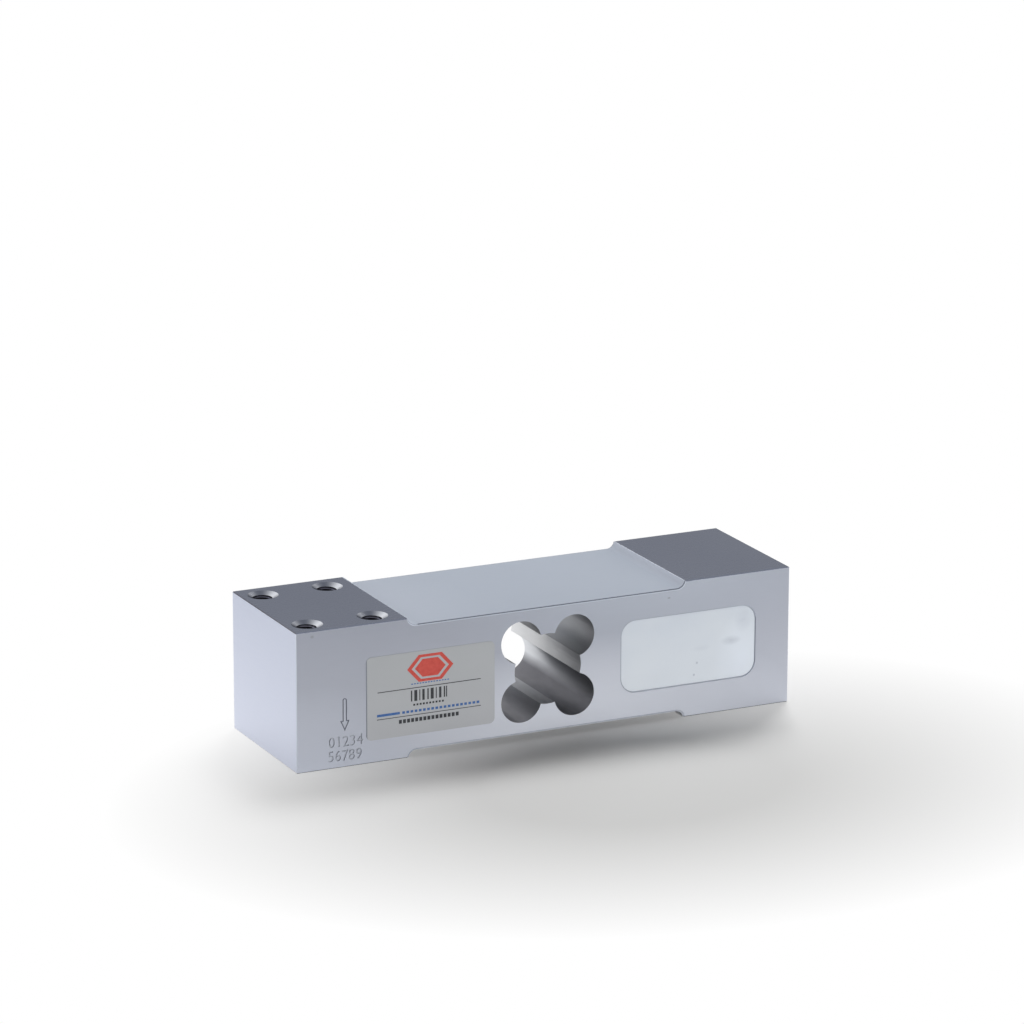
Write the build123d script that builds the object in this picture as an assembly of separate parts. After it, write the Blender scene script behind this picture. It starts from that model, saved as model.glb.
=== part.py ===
from build123d import *
import math
import os

# Single point load cell: a one-piece aluminium spring body with its gauges, covers and potting.
# Millimetres, +Z up. +X runs along the block from the load end to the fixed end, and -Y is the
# labelled side. The origin is at the centre of the underside, level with the lower end pads.

# Spring body
body_length = 150.0
body_width = 44.0
body_height = 39.5
load_pad_length = 32.75
fixed_pad_length = 32.65
recess_depth = 2.2
recess_end_radius = 2.6
edge_break = 0.2

# Flexure bore: one large hole with a smaller lobe at each of its four corners, so that a thin web
# is left between each lobe and the gauge over or under it
flexure_bore_radius = 10.1
lobe_radius = 6.1
lobe_offset_x = 8.05
web_thickness = 2.45

# Tapped mounting holes, four in the top of the load end and four in the underside of the fixed end
tap_drill_diameter = 5.0
tap_drill_depth = 15.0
drill_point_angle = 118.0
countersink_diameter = 8.6
countersink_angle = 120.0
hole_spacing_x = 19.2
hole_spacing_y = 30.5
hole_end_margin = 6.25

# Side pocket with the circuit board, in the labelled face between the bore and the fixed end
pocket_wall_to_bore = 8.15
pocket_height = 21.1
pocket_depth = 3.0
pocket_corner_radius = 4.6
pocket_end_margin = 10.5
potting_setback = 0.15

# Cable inlet in the fixed end face, and its cross hole into the pocket
inlet_diameter = 6.5
inlet_depth = 22.0
inlet_cross_diameter = 5.0
inlet_cross_margin = 1.0
bush_bore_diameter = 4.8
bush_length = 8.0
bush_lead_in = 0.4

# Wire well between the upper and lower gauge pockets, and its cross hole into the side pocket
# near the pocket's inner end
well_diameter = 4.0
well_cross_diameter = 5.0
well_end_margin = 3.7

# Gauge pockets in the recess floors, and the covers over the whole recess
gauge_pocket_depth = 0.6
gauge_pocket_width = 16.0
gauge_pocket_margin = 2.0
gauge_pocket_corner_radius = 3.0
cover_thickness = 0.3
cover_side_margin = 0.3

# Strain gauges
backing_length = 7.6
backing_width = 5.6
backing_thickness = 0.15
grid_thickness = 0.1
strand_count = 6
strand_length = 4.0
strand_width = 0.3
strand_pitch = 0.55
tab_length = 1.3
tab_width = 1.0

# Solder terminals
terminal_length = 2.4
terminal_overhang = 1.3
terminal_thickness = 0.4
terminal_gap = 0.3

# Flat wires: jumpers between the terminals, and a three-core ribbon to the circuit board
jumper_width = 0.3
ribbon_width = 1.2
wire_thickness = 0.25
wire_bed = 0.05
ribbon_bend_radius = 1.0
ribbon_level_gap = 0.4
ribbon_board_overlap = 2.0

# Circuit board and its resistors
board_start_margin = 8.7
board_end_margin = 11.5
board_height = 14.0
board_thickness = 0.8
chip_length = 4.5
chip_height = 2.4
chip_thickness = 0.6
chip_pitch = 3.3
chip_edge_margin = 1.5

# Rating label
label_length = 38.3
label_height = 23.5
label_thickness = 0.15
label_corner_radius = 1.5
label_end_margin = 20.5
label_base_margin = 6.4

# Levels and faces that several pieces share
mid_z = body_height / 2
load_face_x = -body_length / 2
fixed_face_x = body_length / 2
labelled_face_y = -body_width / 2
recess_floor_z = body_height - recess_depth
gauge_floor_z = recess_floor_z - gauge_pocket_depth
lobe_offset_z = gauge_floor_z - web_thickness - lobe_radius - mid_z
pocket_floor_y = labelled_face_y + pocket_depth
pocket_start_x = lobe_offset_x + lobe_radius + pocket_wall_to_bore
pocket_end_x = fixed_face_x - pocket_end_margin
well_x = pocket_start_x + well_end_margin
inlet_cross_x = fixed_face_x - inlet_depth + inlet_cross_margin + inlet_cross_diameter / 2
board_start_x = pocket_start_x + board_start_margin
board_end_x = pocket_end_x - board_end_margin
mirror_plane = Plane.XY.offset(mid_z)

# Places along the gauge pocket, for the gauge at each end of the flexure
gauge_x = {"load": -lobe_offset_x, "fixed": lobe_offset_x}
terminal_offset = backing_length / 2 + terminal_gap + terminal_length / 2
terminal_width = backing_width + 2 * terminal_overhang
wire_z = gauge_floor_z + wire_bed + wire_thickness / 2
sides = ("upper", "lower")


def on_side(shape, side):
    """The shape as it is for the upper side, or mirrored for the lower one."""
    return shape if side == "upper" else mirror(shape, about=mirror_plane)


def solid_along_y(sketch, y_from, y_to):
    """The sketch, drawn in X and Z, as a solid between two levels of Y."""
    plane = Plane((0, y_to, 0), x_dir=(1, 0, 0), z_dir=(0, -1, 0))
    return extrude(plane * sketch, amount=y_to - y_from)


def cylinder_along(axis, start, radius, length):
    """A cylinder that starts at a point and runs along an axis."""
    return extrude(Plane(start, z_dir=axis) * Circle(radius), amount=length)


# Spring body


def recess_outline(inset):
    """Outline of the cut that makes the upper recess, moved into the open by an inset.

    Only its lower part meets the block: a flat floor with a rounded end at each pad.
    """
    radius = recess_end_radius
    rise = min(recess_depth, radius)
    end_run = math.sqrt(radius**2 - (radius - rise) ** 2)
    floor_start = load_face_x + load_pad_length + end_run
    floor_end = fixed_face_x - fixed_pad_length - end_run
    width = floor_end - floor_start + 2 * radius - 2 * inset
    height = 2 * (recess_depth + radius)
    centre_x = (floor_start + floor_end) / 2
    centre_z = recess_floor_z + inset + height / 2
    return Pos(centre_x, centre_z) * RectangleRounded(width, height, radius - inset)


def block():
    """The block with its end pads and both recesses, its outer edges broken."""
    outline = Pos(0, mid_z) * Rectangle(body_length, body_height)
    upper_cut = recess_outline(0)
    lower_cut = mirror(upper_cut, about=Plane.XZ.offset(-mid_z))
    solid = solid_along_y(outline - upper_cut - lower_cut, -body_width / 2, body_width / 2)
    side_faces = solid.faces().sort_by(Axis.Y)
    end_edges = solid.edges().filter_by(Axis.Y).sort_by(Axis.X)
    broken = [*side_faces[0].edges(), *side_faces[-1].edges(), *end_edges[:2], *end_edges[-2:]]
    return chamfer(broken, edge_break)


def flexure_bore():
    """The large hole and its four lobes, right through the width."""
    outline = Pos(0, mid_z) * Circle(flexure_bore_radius)
    for side_x in (-1, 1):
        for side_z in (-1, 1):
            centre = Pos(side_x * lobe_offset_x, mid_z + side_z * lobe_offset_z)
            outline += centre * Circle(lobe_radius)
    return solid_along_y(outline, -body_width, body_width)


def tapped_hole():
    """Tool shape of one mounting hole that enters the top of the load end at the origin."""
    drill = tap_drill_diameter / 2
    mouth = countersink_diameter / 2
    mouth_depth = (mouth - drill) / math.tan(math.radians(countersink_angle / 2))
    point_depth = drill / math.tan(math.radians(drill_point_angle / 2))
    section = Polyline(
        (0, 0),
        (mouth, 0),
        (drill, -mouth_depth),
        (drill, -tap_drill_depth),
        (0, -tap_drill_depth - point_depth),
        close=True,
    )
    return revolve(Plane.XZ * make_face(section), axis=Axis.Z)


def hole_places():
    """Centres of the four holes of the load end, in X and Y."""
    first_x = load_face_x + hole_end_margin
    half_y = hole_spacing_y / 2
    return [(x, y) for x in (first_x, first_x + hole_spacing_x) for y in (-half_y, half_y)]


def mounting_holes():
    """Every mounting hole: the load end's from above, the fixed end's from below."""
    hole = tapped_hole()
    turned = Rot(180, 0, 0) * hole
    holes = [Pos(x, y, body_height) * hole for x, y in hole_places()]
    return holes + [Pos(-x, y, 0) * turned for x, y in hole_places()]


def side_pocket(front_y):
    """The pocket's shape from its floor to a level in front of it."""
    length = pocket_end_x - pocket_start_x
    outline = RectangleRounded(length, pocket_height, pocket_corner_radius)
    outline = Pos((pocket_start_x + pocket_end_x) / 2, mid_z) * outline
    return solid_along_y(outline, front_y, pocket_floor_y)


def gauge_pocket():
    """The upper gauge pocket, from its floor to the recess floor."""
    start_x = gauge_x["load"] - backing_length / 2 - gauge_pocket_margin
    end_x = well_x + well_diameter / 2 + gauge_pocket_margin
    outline = RectangleRounded(end_x - start_x, gauge_pocket_width, gauge_pocket_corner_radius)
    place = Pos((start_x + end_x) / 2, 0, gauge_floor_z)
    return extrude(place * outline, amount=gauge_pocket_depth)


def wire_passages():
    """The well between the gauge pockets, and the cross hole from its axis to the side pocket."""
    well = cylinder_along((0, 0, 1), (well_x, 0, 0), well_diameter / 2, body_height)
    start = (well_x, pocket_floor_y, mid_z)
    return [well, cylinder_along((0, 1, 0), start, well_cross_diameter / 2, -pocket_floor_y)]


def cable_passages():
    """The inlet in the fixed end face, and the cross hole from its axis to the side pocket."""
    start = (fixed_face_x, 0, mid_z)
    inlet = cylinder_along((-1, 0, 0), start, inlet_diameter / 2, inlet_depth)
    start = (inlet_cross_x, pocket_floor_y, mid_z)
    return [inlet, cylinder_along((0, 1, 0), start, inlet_cross_diameter / 2, -pocket_floor_y)]


def spring_body():
    upper_pocket = gauge_pocket()
    solid = block() - flexure_bore() - side_pocket(-body_width)
    solid -= mounting_holes()
    solid -= [upper_pocket, on_side(upper_pocket, "lower")]
    solid -= wire_passages()
    solid -= cable_passages()
    return solid


# Covers


def gauge_cover():
    """The thin cover that lines the upper recess from pad to pad."""
    outline = Pos(0, mid_z) * Rectangle(body_length, body_height)
    sheet = (recess_outline(0) - recess_outline(cover_thickness)) & outline
    half_width = body_width / 2 - cover_side_margin
    return solid_along_y(sheet, -half_width, half_width)


# Strain gauges and terminals, on the floor of the upper gauge pocket


def plate_on_floor(length, width, thickness, x):
    """A flat plate that lies on the gauge pocket's floor."""
    place = Pos(x, 0, gauge_floor_z + thickness / 2)
    return place * Box(length, width, thickness)


def gauge_backing(end):
    return plate_on_floor(backing_length, backing_width, backing_thickness, gauge_x[end])


def gauge_grid(end):
    """The foil grid on a backing: strands along X, joined at alternate ends, with two tabs."""
    half = (strand_count - 1) / 2
    levels = [(strand - half) * strand_pitch for strand in range(strand_count)]
    outline = Sketch()
    for level in levels:
        outline += Pos(0, level) * Rectangle(strand_length, strand_width)
    for strand in range(strand_count - 1):
        end_side = -1 if strand % 2 == 0 else 1
        loop_x = end_side * (strand_length - strand_width) / 2
        loop_y = (levels[strand] + levels[strand + 1]) / 2
        outline += Pos(loop_x, loop_y) * Rectangle(strand_width, strand_pitch)
    tab_x = (strand_length + tab_length) / 2
    for level, outward in ((levels[0], -1), (levels[-1], 1)):
        tab_y = level + outward * (tab_width - strand_width) / 2
        outline += Pos(tab_x, tab_y) * Rectangle(tab_length, tab_width)
    place = Pos(gauge_x[end] - tab_length / 2, 0, gauge_floor_z + backing_thickness)
    return extrude(place * outline, amount=grid_thickness)


def terminal(end):
    x = gauge_x[end] + terminal_offset
    return plate_on_floor(terminal_length, terminal_width, terminal_thickness, x)


# Jumpers and ribbon


def jumpers():
    """Two straight wires between the terminals, one on each side of the gauge that they pass."""
    start_x = gauge_x["load"] + terminal_offset + terminal_length / 2
    end_x = gauge_x["fixed"] + terminal_offset - terminal_length / 2
    lane_y = (backing_width + terminal_overhang) / 2
    wire = Box(end_x - start_x, jumper_width, wire_thickness)
    return [Pos((start_x + end_x) / 2, side * lane_y, wire_z) * wire for side in (-1, 1)]


def ribbon():
    """The ribbon from the last terminal, down the well and through its cross hole to the board."""
    level_z = mid_z + ribbon_level_gap + ribbon_width / 2
    board_y = pocket_floor_y - board_thickness - wire_bed - wire_thickness / 2
    end_x = board_start_x + ribbon_board_overlap
    route = [
        (gauge_x["fixed"] + terminal_offset + terminal_length / 2, 0, wire_z),
        (well_x, 0, wire_z),
        (well_x, 0, level_z),
        (well_x, board_y, level_z),
        (end_x, board_y, level_z),
    ]
    path = FilletPolyline(*route, radius=ribbon_bend_radius)
    section = Plane(path @ 0, x_dir=(0, 1, 0), z_dir=path % 0) * Rectangle(ribbon_width, wire_thickness)
    return sweep(section, path=path)


def gauge_coating():
    """Silicone that fills the upper gauge pocket round everything that lies in it."""
    held = [make(end) for make in (gauge_backing, gauge_grid, terminal) for end in gauge_x]
    return gauge_pocket() - held - jumpers() - ribbon()


# Circuit board and potting


def board_layer(start_x, end_x, height, thickness, z, back_y):
    """A plate that stands in the side pocket with its back at a level of Y."""
    place = Pos((start_x + end_x) / 2, back_y - thickness / 2, z)
    return place * Box(end_x - start_x, thickness, height)


def compensation_board():
    return board_layer(
        board_start_x, board_end_x, board_height, board_thickness, mid_z, pocket_floor_y
    )


def board_chips():
    """The board's resistors by name, in one column on its near side."""
    back_y = pocket_floor_y - board_thickness
    end_x = board_end_x - chip_edge_margin
    names = ("span_resistor", "zero_balance_resistor", "temperature_resistor", "trim_resistor")
    chips = {}
    for index, name in enumerate(names):
        z = mid_z + ((len(names) - 1) / 2 - index) * chip_pitch
        chips[name] = board_layer(
            end_x - chip_length, end_x, chip_height, chip_thickness, z, back_y
        )
    return chips


def pocket_potting(held):
    """Silicone that fills the side pocket round the board, its resistors and the ribbons."""
    return side_pocket(labelled_face_y + potting_setback) - held


# Pieces on the outside


def cable_inlet_bush():
    """Rubber bush in the mouth of the cable inlet, flush with the fixed end face."""
    start = (fixed_face_x, 0, mid_z)
    bush = cylinder_along((-1, 0, 0), start, inlet_diameter / 2, bush_length)
    bush -= cylinder_along((-1, 0, 0), start, bush_bore_diameter / 2, bush_length)
    mouth = bush.faces().sort_by(Axis.X)[-1].inner_wires().edges()
    return chamfer(mouth, bush_lead_in)


def rating_label():
    x = load_face_x + label_end_margin + label_length / 2
    z = label_base_margin + label_height / 2
    outline = Pos(x, z) * RectangleRounded(label_length, label_height, label_corner_radius)
    return solid_along_y(outline, labelled_face_y - label_thickness, labelled_face_y)


def all_parts():
    """Every piece by the name of its node."""
    board = compensation_board()
    chips = board_chips()
    ribbons = {side: on_side(ribbon(), side) for side in sides}
    parts = {
        "spring_body": spring_body(),
        "cable_inlet_bush": cable_inlet_bush(),
        "rating_label": rating_label(),
        "compensation_board": board,
        "pocket_potting": pocket_potting([board, *chips.values(), *ribbons.values()]),
        **chips,
    }
    for side in sides:
        parts[f"{side}_gauge_cover"] = on_side(gauge_cover(), side)
        parts[f"gauge_coating_{side}"] = on_side(gauge_coating(), side)
        parts[f"lead_ribbon_{side}"] = ribbons[side]
        parts[f"gauge_jumpers_{side}"] = Compound(children=[on_side(wire, side) for wire in jumpers()])
        for end in gauge_x:
            parts[f"gauge_backing_{side}_{end}"] = on_side(gauge_backing(end), side)
            parts[f"gauge_grid_{side}_{end}"] = on_side(gauge_grid(end), side)
            parts[f"terminal_{side}_{end}"] = on_side(terminal(end), side)
    return parts


os.makedirs("parts", exist_ok=True)
for node, shape in all_parts().items():
    export_step(shape, f"parts/{node}.step")
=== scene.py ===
import math
import random

import bmesh
import bpy
from mathutils import Matrix, Vector, noise


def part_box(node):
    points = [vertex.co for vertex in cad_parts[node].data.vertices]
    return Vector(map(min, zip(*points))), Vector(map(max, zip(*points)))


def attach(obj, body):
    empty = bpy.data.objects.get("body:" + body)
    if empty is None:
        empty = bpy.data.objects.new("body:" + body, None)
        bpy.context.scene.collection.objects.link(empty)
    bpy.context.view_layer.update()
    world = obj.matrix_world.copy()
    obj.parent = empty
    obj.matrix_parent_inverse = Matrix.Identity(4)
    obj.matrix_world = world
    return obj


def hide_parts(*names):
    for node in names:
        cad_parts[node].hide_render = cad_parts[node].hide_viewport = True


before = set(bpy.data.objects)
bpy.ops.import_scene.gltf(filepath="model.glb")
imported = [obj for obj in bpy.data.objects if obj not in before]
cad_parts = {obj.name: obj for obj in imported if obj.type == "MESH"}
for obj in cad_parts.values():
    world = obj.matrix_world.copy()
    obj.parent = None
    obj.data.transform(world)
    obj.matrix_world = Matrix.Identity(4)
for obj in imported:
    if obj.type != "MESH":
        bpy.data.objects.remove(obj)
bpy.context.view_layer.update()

# The block lies along X, load end at the low end, labelled side facing -Y, foot on Z = 0
MM = 0.001
BODY = "root"
BLOCK_LOW, BLOCK_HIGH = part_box("spring_body")
LEFT = BLOCK_LOW[0]
RIGHT = BLOCK_HIGH[0]
NEAR = BLOCK_LOW[1]
FAR = BLOCK_HIGH[1]
TOP = BLOCK_HIGH[2]

# Camera
CAMERA_PLACE = Vector((-0.58679, -1.22570, 0.43943))
CAMERA_YAW = math.radians(25.565)
CAMERA_PITCH = math.radians(15.650)
CAMERA_ROLL = math.radians(0.102)
CAMERA_LENS = 179.83
CAMERA_REACH = 20.0
SENSOR_WIDTH = 36.0

# Tapped holes, four in the top of the load end and four in the foot of the fixed end
HOLE_SPACING_X = 19.2 * MM
HOLE_SPACING_Y = 30.5 * MM
HOLE_END_MARGIN = 6.25 * MM
COUNTERSINK_RADIUS = 4.3 * MM
COUNTERSINK_DEPTH = 1.1 * MM
CONE_STEEPNESS = 0.82
THREAD_MAJOR = 3.0 * MM
THREAD_CUT_MINOR = 2.4 * MM
THREAD_PITCH = 1.0 * MM
THREAD_START = 0.22 * MM
THREAD_LENGTH = 12.0 * MM
THREAD_LEAD = 1.5 * THREAD_PITCH
THREAD_STEPS = 28

# The bright flanks of a countersink, painted tones that stand for its reflections: the heading,
# strength and tightness of each
BRIGHTNESS = "flank_brightness"
BRIGHT_FLANKS = ((-0.1, 1.0, 2.6), (2.25, 0.36, 14.0))

# Flexure bore: its reach from the middle, and the painted tones that stand for light in it
BORE_REACH = 16.0 * MM
BORE_SHADED_Y = NEAR - 4.0 * MM
BORE_BRIGHT_Y = FAR - 14.0 * MM
BORE_MOUTH = (9.5 * MM, FAR, 14.0 * MM)
BORE_MOUTH_SIZE = (9.0 * MM, 19.0 * MM, 8.0 * MM)
BORE_STRIP = (10.1 * MM, 0.0, TOP / 2)
BORE_STRIP_SIZE = (4.0 * MM, 60.0 * MM, 5.4 * MM)
LOW_LOBE_Z = 10.8 * MM
LOW_LOBE_FADE = 2.8 * MM

# Marks stamped in the near face, measured from the load end
ARROW_X = 14.15 * MM
ARROW_TIP_Z = 10.2 * MM
ARROW_HEAD_Z = 13.2 * MM
ARROW_TOP_Z = 19.5 * MM
ARROW_SHAFT_WIDTH = 1.27 * MM
ARROW_HEAD_WIDTH = 2.75 * MM
ARROW_LINE = 0.3 * MM
ARROW_END_STEPS = 5
MARK_DEPTH = 0.22 * MM
MARK_OVERSHOOT = 0.3 * MM
MARKS_START = 2.0 * MM
MARKS_END = 21.0 * MM
MARKS_TOP = 20.5 * MM
MARKS_INWARD = 1.2 * MARK_DEPTH
NUMERALS_TOP = ARROW_TIP_Z - 0.4 * MM

# Rows of numerals: the figures, their left end, their foot and their height
DIGIT_ROWS = (
    ("01234", 9.3 * MM, 5.95 * MM, 3.15 * MM),
    ("56789", 9.0 * MM, 1.9 * MM, 3.2 * MM),
)
DIGIT_STEP = 2.06 * MM
DIGIT_SLIP = 0.09 * MM
DIGIT_TURN = math.radians(1.6)
DIGIT_NARROWING = 0.92
DIGIT_SHARE_OF_SIZE = 0.73
DIGIT_CURVE_STEPS = 3
STRIKE_SEED = 7

# Potting: the cells of its waved face, its lip along the wall and how far that drops. The waves
# have a height, a count per metre along X and up Z, and the slice of the noise that they take
POTTING_CELL = 1.4 * MM
POTTING_LIP = 0.32 * MM
POTTING_DROP = 0.18 * MM
POTTING_WAVE = 0.05 * MM
POTTING_WAVES_X = 90
POTTING_WAVES_Z = 110
POTTING_WAVE_SLICE = 3.0

# Label
LABEL_LOW, LABEL_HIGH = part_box("rating_label")
LABEL_CORNER = 1.5 * MM
LABEL_CORNER_STEPS = 8
LABEL_EDGE_ROUND = 0.04 * MM
# Where the strip of painted shade along the label's left edge starts and ends
LABEL_EDGE_SHADE_START = 0.12 * MM
LABEL_EDGE_SHADE_END = 0.34 * MM
FOIL_THICKNESS = 0.12 * MM
INK_THICKNESS = 0.02 * MM
INK_FACE = NEAR - FOIL_THICKNESS - INK_THICKNESS

# Print, in millimetres from the label's lower left corner: a bar is its left, right, low and high,
# and a row of dashes has its count and the share of each step that is gap as well
RED_MARK_CENTRE = (19.0, 18.6)
RED_MARK_REACH = (6.9, 4.4)
RED_RING_SHARE = 0.17
RED_GAP_SHARE = 0.12
BLUE_BARS = [(3.1, 9.9, 6.35, 7.05)]
BLUE_DASHES = [(13.3, 24.9, 14.25, 14.55, 14, 0.35), (10.6, 34.1, 6.35, 7.05, 19, 0.35)]
BLACK_BARS = [(3.3, 34.1, 13.15, 13.38), (3.1, 34.1, 5.5, 5.7)]
BLACK_DASHES = [(13.9, 23.4, 8.2, 8.75, 10, 0.4), (9.6, 27.8, 3.65, 4.75, 15, 0.28)]
UPRIGHTS_LOW = 9.5
UPRIGHTS_HIGH = 12.6
UPRIGHTS = (
    (13.2, 13.6), (14.2, 15.1), (15.7, 16.0), (16.6, 17.3), (18.1, 18.5),
    (19.1, 20.0), (20.6, 20.9), (21.6, 22.3), (23.0, 23.4), (23.7, 24.0),
)

# Sealant along the covers' long edges
SEAL_WIDTH = 0.14 * MM
SEAL_START = 3.2 * MM

# What counts as one point, as flat and as sharp
MERGE_DISTANCE = 0.002 * MM
FACE_GAP = 0.02 * MM
EDGE_BREAK = 0.2 * MM
FLAT_ANGLE = math.radians(0.2)
SHARP_ANGLE = math.radians(32)
POTTING_SHARP_ANGLE = math.radians(60)
FLAT_AREA = 20 * MM * MM
NO_FLATS = 1.0
SQUARE_ON = 0.99
DEAD_SQUARE = 0.999
HALF_TURNED = 0.5
EDGE_ON = 0.1

# Grain of the finishes, in counts per metre along each axis, and how far it swings the roughness
BROAD_CLOUDS = (22, 22, 22)
METAL_SWING = 0.05
SOFT_SWING = 0.06
PATCH_SOFTNESS = 0.3


def tone(red, green, blue):
    """A colour written as the eye sees it, 0 to 255, as the linear value a shader takes."""
    linear = []
    for level in (red, green, blue):
        share = level / 255
        linear.append(share / 12.92 if share < 0.04045 else ((share + 0.055) / 1.055) ** 2.4)
    return (*linear, 1.0)


def in_mm(values):
    """A place or a size given in millimetres, in metres."""
    return [value * MM for value in values]


# Materials

def new_finish(name, colour, metallic, roughness):
    """An empty procedural material: its node tree and its shader."""
    material = bpy.data.materials.new(name)
    material.use_nodes = True
    shader = material.node_tree.nodes["Principled BSDF"]
    shader.inputs["Base Color"].default_value = colour
    shader.inputs["Metallic"].default_value = metallic
    shader.inputs["Roughness"].default_value = roughness
    return material, material.node_tree, shader


def feed(tree, value, socket):
    """Links an output to a socket, or sets the socket to a plain value."""
    if isinstance(value, bpy.types.NodeSocket):
        tree.links.new(value, socket)
    else:
        socket.default_value = value


def reckon(tree, operation, first, second):
    """One sum on two outputs, or on an output and a number."""
    node = tree.nodes.new("ShaderNodeMath")
    node.operation = operation
    feed(tree, first, node.inputs[0])
    feed(tree, second, node.inputs[1])
    return node.outputs["Value"]


def own_place(tree):
    """The place of a point in the piece's own coordinates."""
    return tree.nodes.new("ShaderNodeTexCoord").outputs["Object"]


def own_axis(tree, axis):
    """One coordinate of a point, X, Y or Z, in the piece's own coordinates."""
    axes = tree.nodes.new("ShaderNodeSeparateXYZ")
    tree.links.new(own_place(tree), axes.inputs["Vector"])
    return axes.outputs[axis]


def grain(tree, scale, detail=3.0):
    """Noise on the piece's own coordinates, with its count per metre along each axis."""
    mapping = tree.nodes.new("ShaderNodeMapping")
    mapping.inputs["Scale"].default_value = scale
    texture = tree.nodes.new("ShaderNodeTexNoise")
    texture.inputs["Scale"].default_value = 1.0
    texture.inputs["Detail"].default_value = detail
    tree.links.new(own_place(tree), mapping.inputs["Vector"])
    tree.links.new(mapping.outputs["Vector"], texture.inputs["Vector"])
    return texture.outputs["Fac"]


def spread(tree, mask, low, high, start=0.3, end=0.7):
    """The mask's start-to-end range taken to low-to-high."""
    node = tree.nodes.new("ShaderNodeMapRange")
    node.inputs["From Min"].default_value = start
    node.inputs["From Max"].default_value = end
    node.inputs["To Min"].default_value = low
    node.inputs["To Max"].default_value = high
    tree.links.new(mask, node.inputs["Value"])
    return node.outputs["Result"]


def blend(tree, mask, dark, light):
    """Two colours, or outputs, mixed by a mask of 0 to 1."""
    node = tree.nodes.new("ShaderNodeMix")
    node.data_type = "RGBA"
    tree.links.new(mask, node.inputs["Factor"])
    feed(tree, dark, node.inputs[6])
    feed(tree, light, node.inputs[7])
    return node.outputs[2]


def relief(tree, shader, mask, height):
    """Bumps of that height in metres where the mask goes from 0 to 1."""
    bump = tree.nodes.new("ShaderNodeBump")
    bump.inputs["Distance"].default_value = height
    bump.inputs["Strength"].default_value = 1.0
    tree.links.new(mask, bump.inputs["Height"])
    tree.links.new(bump.outputs["Normal"], shader.inputs["Normal"])


def spot(tree, centre, size, soft=0.0):
    """A mask that is 1 about a point and fades to 0 at the edge of an ellipsoid."""
    mapping = tree.nodes.new("ShaderNodeMapping")
    mapping.vector_type = "TEXTURE"
    mapping.inputs["Location"].default_value = centre
    mapping.inputs["Scale"].default_value = size
    reach = tree.nodes.new("ShaderNodeVectorMath")
    reach.operation = "LENGTH"
    tree.links.new(own_place(tree), mapping.inputs["Vector"])
    tree.links.new(mapping.outputs["Vector"], reach.inputs[0])
    return spread(tree, reach.outputs["Value"], 1.0, 0.0, soft, 1.0)


def height_mask(tree):
    """1 at the foot of the block and 0 at its top."""
    return spread(tree, own_axis(tree, "Z"), 1.0, 0.0, 0.0, TOP)


def low_angle_shine(shader, share):
    """Sets how much of its white shine a metal keeps where it is seen at a low angle."""
    shader.inputs["Specular Tint"].default_value = (share, share, share, 1)


def metal(name, dark, light, roughness, lines, line_height, metallic=1.0, foot=None, painted_light_and_marks=(), shine=1.0):
    """Machined metal: fine tool lines along one axis, broad clouds of tone, painted light towards the foot
    where a foot tone is given, and given areas of painted light and small marks.
    """
    material, tree, shader = new_finish(name, dark, metallic, roughness)
    low_angle_shine(shader, shine)
    fine = grain(tree, lines, detail=2.0)
    broad = grain(tree, BROAD_CLOUDS, detail=1.0)
    colour = blend(tree, spread(tree, broad, 0.0, 1.0), dark, light)
    # Painted light: lighter towards the foot
    if foot:
        colour = blend(tree, height_mask(tree), colour, foot)
    # Areas of painted light, and small marks, where given
    for centre, size, shade in painted_light_and_marks:
        mask = spot(tree, in_mm(centre), in_mm(size), soft=PATCH_SOFTNESS)
        colour = blend(tree, mask, colour, shade)
    tree.links.new(colour, shader.inputs["Base Color"])
    gloss = spread(tree, fine, roughness - METAL_SWING, roughness + METAL_SWING)
    tree.links.new(gloss, shader.inputs["Roughness"])
    relief(tree, shader, fine, line_height)
    return material


def soft_solid(name, dark, light, roughness, scale, height=0.0, metallic=0.0):
    """Rubber, film, board, copper or ceramic with a fine mottle of its own."""
    material, tree, shader = new_finish(name, dark, metallic, roughness)
    mottle = grain(tree, (scale, scale, scale))
    colour = blend(tree, spread(tree, mottle, 0.0, 1.0), dark, light)
    tree.links.new(colour, shader.inputs["Base Color"])
    gloss = spread(tree, mottle, roughness - SOFT_SWING, roughness + SOFT_SWING)
    tree.links.new(gloss, shader.inputs["Roughness"])
    if height:
        relief(tree, shader, mottle, height)
    return material


def countersunk_metal(name):
    """Cut cone, dull but for the bright flanks that stand for its reflections: the mesh says where."""
    material, tree, shader = new_finish(name, tone(90, 93, 104), 0.8, 0.36)
    low_angle_shine(shader, 0.2)
    brightness = tree.nodes.new("ShaderNodeAttribute")
    brightness.attribute_name = BRIGHTNESS
    fine = grain(tree, (900, 900, 5200), detail=2.0)
    colour = blend(tree, brightness.outputs["Fac"], tone(98, 102, 114), tone(240, 243, 250))
    tree.links.new(colour, shader.inputs["Base Color"])
    relief(tree, shader, fine, 0.0004 * MM)
    return material


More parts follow.
